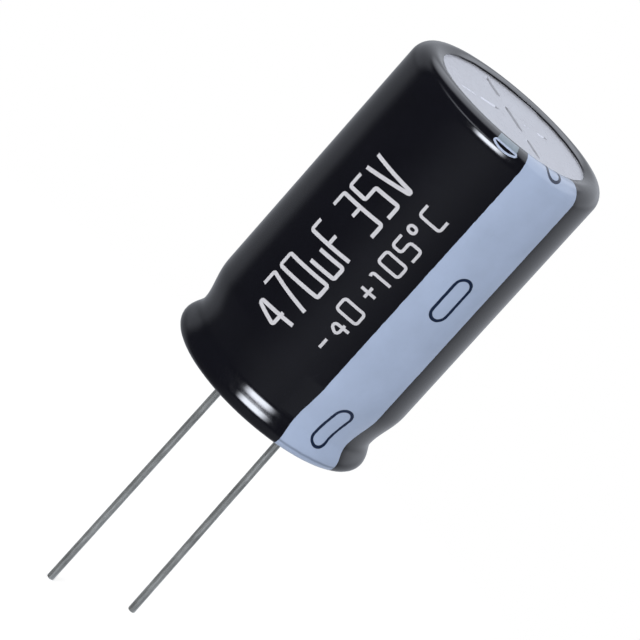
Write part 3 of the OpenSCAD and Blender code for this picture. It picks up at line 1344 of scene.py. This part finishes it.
@dataclass(frozen=True)
class ScoreBlade:
    """The blade of one score line. It bites in stretches, which are shares of its length and depth."""

    bites: tuple[Triple, ...]
    length: float = 15.0 * MM
    width: float = 0.6 * MM
    depth: float = 0.22 * MM
    floor: float = 0.1 * MM
    shallow: float = -0.02 * MM
    ramp: float = 0.03
    clearance: float = 0.3 * MM

    def stations(self) -> list[Point]:
        """Gives the bends of the blade's edge.

        Returns:
            The share of the length and the depth at each bend.
        """
        bends = [(0.0, self.shallow)]
        for start, stop, share in self.bites:
            deep = max(self.shallow, share * self.depth)
            bends += [(start, self.shallow), (start + self.ramp, deep), (stop - self.ramp, deep),
                      (stop, self.shallow)]
        return bends + [(1.0, self.shallow)]

    def build(self, name: str) -> Object:
        """Makes the blade along X with its edge down.

        Args:
            name: Name of the object.

        Returns:
            The blade, closed at both ends.
        """
        slope = (self.width - self.floor) / 2 / self.depth
        narrow = self.floor / 2
        points: list[Triple] = []
        for share, depth in self.stations():
            x = (share - 0.5) * self.length
            wide = narrow + slope * (depth + self.clearance)
            points += [(x, -wide, self.clearance), (x, -narrow, -depth), (x, narrow, -depth),
                       (x, wide, self.clearance)]
        last = len(points) - 4
        faces = [(3, 2, 1, 0), (last, last + 1, last + 2, last + 3)]
        for first in range(0, last, 4):
            faces += [(first + i, first + j, first + j + 4, first + i + 4)
                      for i, j in ((0, 1), (1, 2), (2, 3), (3, 0))]
        blade = mesh_object(name, points, faces)
        face_outwards(blade.data)
        return blade


@dataclass
class ScoredCan:
    """The drawn aluminium can with the score lines of its vent."""

    form: CanForm
    forming: Forming
    effects: Effects
    segments: int = 180
    sharp_angle: float = radians(9)
    score_turn: float = radians(-13)
    score_spacing: float = pi / 2
    blades: tuple[ScoreBlade, ScoreBlade] = (
        ScoreBlade(((0.005, 0.25, 1.0), (0.35, 0.66, 1.0), (0.74, 0.97, 0.8))),
        ScoreBlade(((0.03, 0.18, 0.3), (0.19, 0.38, 1.0), (0.58, 0.65, 0.6), (0.7, 0.82, 0.8))))

    def build(self) -> None:
        """Builds and dresses the can."""
        first, second = (blade.build(f"score_blade_{i}") for i, blade in enumerate(self.blades))
        section = section_object("can_section", self.form.can_section())
        values = {"Segments": self.segments, "Material": CAN.material(self.effects), "First Blade": first,
                  "Second Blade": second, "First Turn": self.score_turn, "Line Spacing": self.score_spacing,
                  "Panel Z": self.form.panel_z}
        piece = formed(CAN_PIECE, section, self.forming.can_tree, values, self.sharp_angle)
        for blade in (first, second):
            bpy.data.objects.remove(blade)
        place_piece(piece, Slot.ALUMINIUM, "can")


@dataclass
class Leads:
    """The two tinned wires with their welded heads. Each leans a little, by its own shift at root and tip."""

    forming: Forming
    effects: Effects
    segments: int = 40
    wire: float = 0.4 * MM
    head: float = 0.85 * MM
    head_flat: float = 0.9
    neck_z: float = 0.25 * MM
    neck_power: float = 0.8
    neck_rise: float = 0.92
    neck_pieces: int = 10
    shank_pieces: int = 40
    bevel: float = 0.1 * MM
    burr: Point = (0.3, 0.35)
    lean: dict[Pole, Point] = field(default_factory=lambda: {Pole.ANODE: (0.28 * MM, 0.0),
                                                             Pole.CATHODE: (0.06 * MM, 0.34 * MM)})
    lean_turn: float = radians(39.7)

    def section(self, top: float, tip: float) -> list[Point]:
        """Gives a lead's section from the middle of its head to the middle of its cut tip.

        Args:
            top: Height of the head's upper face.
            tip: Height of the cut.

        Returns:
            The points in radius and height.
        """
        shares = [i / self.neck_pieces for i in range(self.neck_pieces)]
        weld = [(self.wire + (self.head - self.wire) * cos(s * pi / 2) ** self.neck_power,
                 self.neck_z + (top - self.neck_z) * (1 - s) * self.neck_rise) for s in shares]
        fall = (tip + self.bevel - self.neck_z) / self.shank_pieces
        shank = [(self.wire, self.neck_z + fall * i) for i in range(self.shank_pieces + 1)]
        burr = (self.wire - self.bevel * self.burr[0], tip + self.bevel * self.burr[1])
        return ([(0.0, top), (self.head * self.head_flat, top)] + weld + shank
                + [burr, (self.wire - self.bevel, tip), (0.0, tip)])

    def build(self) -> None:
        """Builds and dresses both leads."""
        material = WIRE.material(self.effects)
        way = Vector((cos(self.lean_turn), sin(self.lean_turn), 0.0))
        for pole, (root, tip) in self.lean.items():
            name = pole.value
            low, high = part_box(f"{name}_lead")
            section = section_object(f"{name}_section", self.section(high.z, low.z))
            values = {"Segments": self.segments, "Axis X": round((low.x + high.x) / 2 / MM, 2) * MM,
                      "Material": material, "Root Shift": way * root, "Tip Z": low.z, "Tip Shift": way * tip}
            piece = formed(f"{name}_wire", section, self.forming.lead_tree, values)
            place_piece(piece, Slot.TINNED_WIRE, f"{name}_lead")


@dataclass(frozen=True)
class InnerParts:
    """The pieces inside the can, which keep the CAD node's shape and get their finish here."""

    effects: Effects

    def dress(self) -> None:
        """Puts each inner node's finish on it."""
        finishes = {"rubber_bung": RUBBER, "winding": WOUND, "winding_tape": TAPE}
        made = {name: finish.material(self.effects) for name, finish in finishes.items()}
        made["anode_tab"] = made["cathode_tab"] = TAB.material(self.effects)
        for name, material in made.items():
            node = frame["nodes"][name]
            node.data.materials.clear()
            node.data.materials.append(material)
            LOG.info("%s: CAD node with the finish %s", name, material.name)


# Studio


def aim(lamp: Object, place: Vector, ahead: Vector) -> None:
    """Sets a lamp at a place, facing the given way."""
    lamp.matrix_world = Matrix.Translation(place) @ ahead.to_track_quat("-Z", "Y").to_matrix().to_4x4()


def sight(graph: Graph) -> tuple[Signal, Signal]:
    """Adds the kinds of ray that a background answers on its own.

    Args:
        graph: Graph of the world or the floor.

    Returns:
        Whether the ray only looks at the background, and whether it's a reflection.
    """
    path = graph.add("ShaderNodeLightPath")
    camera, glossy, through = (Signal(graph, path.outputs[ray.value]) for ray in Ray)
    return graph.math("MAXIMUM", camera, through), glossy


@dataclass(frozen=True)
class StripLamp:
    """A lamp seen in reflections only: soft edges in degrees above the horizon and to the camera's right."""

    foot: Point
    head: Point
    left: Point
    right: Point
    strength: float

    def light(self, graph: Graph, turn: Signal, height: Signal) -> Signal:
        """Adds the lamp's brightness.

        Args:
            graph: The world's graph.
            turn: Turn of the direction from the camera's side to its right.
            height: Share of the direction that points up.

        Returns:
            The brightness in each direction.
        """
        rise = [graph.span(height, *(sin(radians(a)) for a in edge)) for edge in (self.foot, self.head[::-1])]
        width = [graph.span(turn, *(radians(a) for a in edge)) for edge in (self.left, self.right)]
        return rise[0] * rise[1] * (width[0] * width[1]) * self.strength


@dataclass(frozen=True)
class Softbox:
    """A round lamp in the reflected room: its way ahead, across and up, its soft edge and its strength."""

    way: Triple
    rim: float
    core: float
    strength: float


@dataclass(frozen=True)
class ReflectedRoom:
    """The room that shows in reflections: dark in front, white behind, and lamps above.

    A ramp gives two places in the room, and the brightness at both where it isn't none and full. A place is a
    share of a direction, from -1 to 1.
    """

    towards: Vector
    rightwards: Vector
    gloom: float = 0.05
    wall_front: Ramp = (-0.22, -0.53)
    wall_top: Ramp = (sin(radians(38)), sin(radians(28)))
    wall_sides: Ramp = (-0.7, 0.7, 0.275, 0.58)
    wall_heights: Ramp = (-0.15, 0.1, 1.0, 1.6)
    table_edge: Ramp = (0.0, -0.2)
    table_sides: Ramp = (0.0, 0.9, 0.17, 0.0)
    ground_edge: Ramp = (-0.315, -0.345)
    ground_sides: Ramp = (-0.4, 0.6, 0.02, 0.2)
    softboxes: tuple[Softbox, ...] = (
        Softbox((-0.58, 0.0, 0.815), radians(38), radians(20), 1.8),
        Softbox((-0.26, 0.53, 0.805), radians(30), radians(18), 1.6))
    side_strip: StripLamp = StripLamp((36, 39), (42, 45), (-110, -30), (8, -12), 2.2)

    def light(self, graph: Graph) -> Signal:
        """Adds the room's brightness.

        Args:
            graph: The world's graph.

        Returns:
            The brightness in each direction.
        """
        way = graph.vector("NORMALIZE", graph.take("ShaderNodeTexCoord", out="Generated"))
        front = graph.vector("DOT_PRODUCT", way, self.towards, out="Value")
        side = graph.vector("DOT_PRODUCT", way, self.rightwards, out="Value")
        height = graph.split(way)[2]
        behind = graph.span(front, *self.wall_front) * graph.span(height, *self.wall_top)
        wall = graph.span(side, *self.wall_sides) * graph.span(height, *self.wall_heights)
        beside = graph.math("ABSOLUTE", side)
        table = graph.span(height, *self.table_edge) * graph.span(beside, *self.table_sides)
        ground = graph.span(height, *self.ground_edge) * graph.span(side, *self.ground_sides)
        base = graph.math("MAXIMUM", table, ground) + self.gloom
        room = behind * (wall - base) + base
        for box in self.softboxes:
            ahead, across, up = box.way
            aimed = (self.towards * ahead + self.rightwards * across + Vector((0, 0, up))).normalized()
            near = graph.vector("DOT_PRODUCT", way, aimed, out="Value")
            glow = graph.span(near, cos(box.rim), cos(box.core), to_high=box.strength)
            room = graph.math("MAXIMUM", room, glow)
        turn = graph.math("ARCTAN2", side, front)
        return room + self.side_strip.light(graph, turn, height)


@dataclass(frozen=True)
class Studio:
    """Camera, background, lamps and floor."""

    azimuth: float = radians(-50.33)
    reach: float = 302.1 * MM
    eye_z: float = 100.0 * MM
    aim_side: float = -0.883 * MM
    aim_z: float = 8.875 * MM
    roll: float = radians(41.75)
    lens: float = 187.7
    sensor: float = 36.0
    clip: Point = (1 * MM, 100.0)
    floor_radius: float = 110 * MM
    floor_pieces: int = 96
    floor_paint: Triple = (0.9, 0.9, 0.9)
    floor_glow: float = 0.36
    floor_fade: Point = (0.6, 0.95)
    daylight: float = 0.72
    cool_room: Triple = (0.93, 0.975, 1.07)
    panel: StripLamp = StripLamp((7, 18), (31.5, 35.5), (-24, -10), (21, 5), 20.0)
    panel_distance: float = 2.0
    panel_aim_z: float = 18 * MM
    lamp_way: Triple = (0.75, -0.43, 0.33)
    lamp_size: float = 0.5
    lamp_power: float = 3.8

    @property
    def towards(self) -> Vector:
        """Gives the level direction from the part to the camera."""
        return Vector((cos(self.azimuth), sin(self.azimuth), 0.0))

    @property
    def rightwards(self) -> Vector:
        """Gives the level direction to the camera's right."""
        return Vector((-sin(self.azimuth), cos(self.azimuth), 0.0))

    def build(self) -> None:
        """Builds the whole studio."""
        self.build_camera()
        self.build_background()
        self.build_panel()
        self.build_floor()
        self.build_lamp()
        bpy.context.scene.view_settings.view_transform = "Standard"

    def build_camera(self) -> None:
        """Sets the camera at the photograph's place, turned about its line of sight as the photograph is."""
        eye = self.towards * self.reach + Vector((0, 0, self.eye_z))
        target = self.rightwards * self.aim_side + Vector((0, 0, self.aim_z))
        ahead = (target - eye).normalized()
        right = ahead.cross(Vector((0, 0, 1))).normalized()
        up = right.cross(ahead)
        cosine, sine = cos(self.roll), sin(self.roll)
        right, up = right * cosine + up * sine, up * cosine - right * sine
        data = bpy.data.cameras.new("photo_view")
        data.lens, data.sensor_width = self.lens, self.sensor
        data.clip_start, data.clip_end = self.clip
        camera = linked("photo_view", data)
        camera.matrix_world = Matrix.Translation(eye) @ Matrix((right, up, -ahead)).transposed().to_4x4()
        bpy.context.scene.camera = camera

    def build_background(self) -> None:
        """Makes the background: white to look at, plain light on the part, and a room in its reflections."""
        world = bpy.data.worlds.new("studio")
        bpy.context.scene.world = world
        graph = cleared(world)
        seen, glossy = sight(graph)
        room = ReflectedRoom(self.towards, self.rightwards).light(graph)
        lit = glossy * (room - self.daylight) + self.daylight
        strength = seen * graph.math("SUBTRACT", 1.0, lit) + lit
        cool = graph.blend(glossy, rgba((1.0, 1.0, 1.0)), rgba(self.cool_room))
        light = graph.take("ShaderNodeBackground", {"Color": cool, "Strength": strength})
        graph.add("ShaderNodeOutputWorld", {"Surface": light})

    def build_panel(self) -> None:
        """Sets the far panel that runs along the film's shoulder and bulge as a streak.

        It shows in reflections only, and never in the bare end, which would be white from behind.
        """
        strip, far = self.panel, self.panel_distance
        rise = radians(strip.foot[0] + strip.head[1]) / 2
        turn = radians(strip.left[0] + strip.right[0]) / 2
        tall = 2 * tan(radians(strip.head[1]) - rise)
        wide = 2 * cos(rise) * tan(radians(strip.right[0]) - turn)
        upwards = [[0.5 + tan(radians(a) - rise) / tall for a in edge]
                   for edge in (strip.foot, strip.head[::-1])]
        sideways = [[0.5 + cos(rise) * tan(radians(a) - turn) / wide for a in edge]
                    for edge in (strip.left, strip.right)]
        data = bpy.data.lights.new("front_panel", "AREA")
        data.shape, data.size, data.size_y = "RECTANGLE", wide * far, tall * far
        data.energy = strip.strength * pi * data.size * data.size_y
        graph = cleared(data)
        across, up, _ = graph.split(graph.take("ShaderNodeNewGeometry", out="Parametric"))
        rows = graph.span(up, *upwards[0]) * graph.span(up, *upwards[1])
        columns = graph.span(across, *sideways[0]) * graph.span(across, *sideways[1])
        light = graph.take("ShaderNodeEmission", {"Color": rgba(self.cool_room), "Strength": rows * columns})
        graph.add("ShaderNodeOutputLight", {"Surface": light})
        panel = linked("front_panel", data)
        level = self.towards * cos(turn) + self.rightwards * sin(turn)
        way = level * cos(rise) + Vector((0, 0, sin(rise)))
        aim(panel, way * far + Vector((0, 0, self.panel_aim_z)), -way)
        panel.visible_diffuse = panel.visible_camera = panel.visible_transmission = False
        receivers = bpy.data.collections.new("panel_receivers")
        for piece in bpy.data.objects:
            if piece.type == "MESH" and piece.name != CAN_PIECE:
                receivers.objects.link(piece)
        panel.light_linking.receiver_collection = receivers

    def build_floor(self) -> None:
        """Makes the pale floor under the leads' tips."""
        mesh = bpy.data.meshes.new("floor")
        disc = bmesh.new()
        bmesh.ops.create_circle(disc, cap_ends=True, radius=self.floor_radius, segments=self.floor_pieces)
        bmesh.ops.translate(disc, verts=disc.verts, vec=(0, 0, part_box("anode_lead")[0].z))
        disc.to_mesh(mesh)
        disc.free()
        floor = linked("floor", mesh)
        floor.data.materials.append(self.floor_material())

    def floor_material(self) -> Material:
        """Makes the floor's white, which is full where no shadow falls on it and fades out at its rim.

        Returns:
            The material.
        """
        made = bpy.data.materials.new("floor_white")
        graph = cleared(made)
        seen, glossy = sight(graph)
        away = graph.vector("LENGTH", graph.place(), out="Value")
        fade = graph.span(away, *(share * self.floor_radius for share in self.floor_fade))
        rim = graph.math("MAXIMUM", glossy, fade)
        paint = graph.take("ShaderNodeBsdfDiffuse", {"Color": rgba(self.floor_paint)})
        glow = graph.take("ShaderNodeEmission", {"Strength": seen * self.floor_glow})
        both = graph.take("ShaderNodeAddShader", {0: paint, 1: glow})
        clear = graph.take("ShaderNodeBsdfTransparent")
        graph.add("ShaderNodeOutputMaterial", {
            "Surface": graph.take("ShaderNodeMixShader", {0: rim, 1: both, 2: clear})})
        return made

    def build_lamp(self) -> None:
        """Sets one large soft lamp at the camera's left, for the light's direction."""
        data = bpy.data.lights.new("soft_lamp", "AREA")
        data.shape, data.size, data.energy = "SQUARE", self.lamp_size, self.lamp_power
        lamp = linked("soft_lamp", data)
        ahead, across, up = self.lamp_way
        place = self.towards * ahead + self.rightwards * across + Vector((0, 0, up))
        aim(lamp, place, -place)
        lamp.visible_glossy = False


def main() -> None:
    """Builds the pieces in order, then the studio."""
    logging.basicConfig(level=logging.INFO, format="%(name)s: %(message)s")
    form, forming, effects = packed_form(), Forming(), Effects()
    PrintedSleeve(form, forming, effects).build()
    ScoredCan(form, forming, effects).build()
    Leads(forming, effects).build()
    InnerParts(effects).dress()
    Studio().build()


if __name__ == "__main__":
    main()
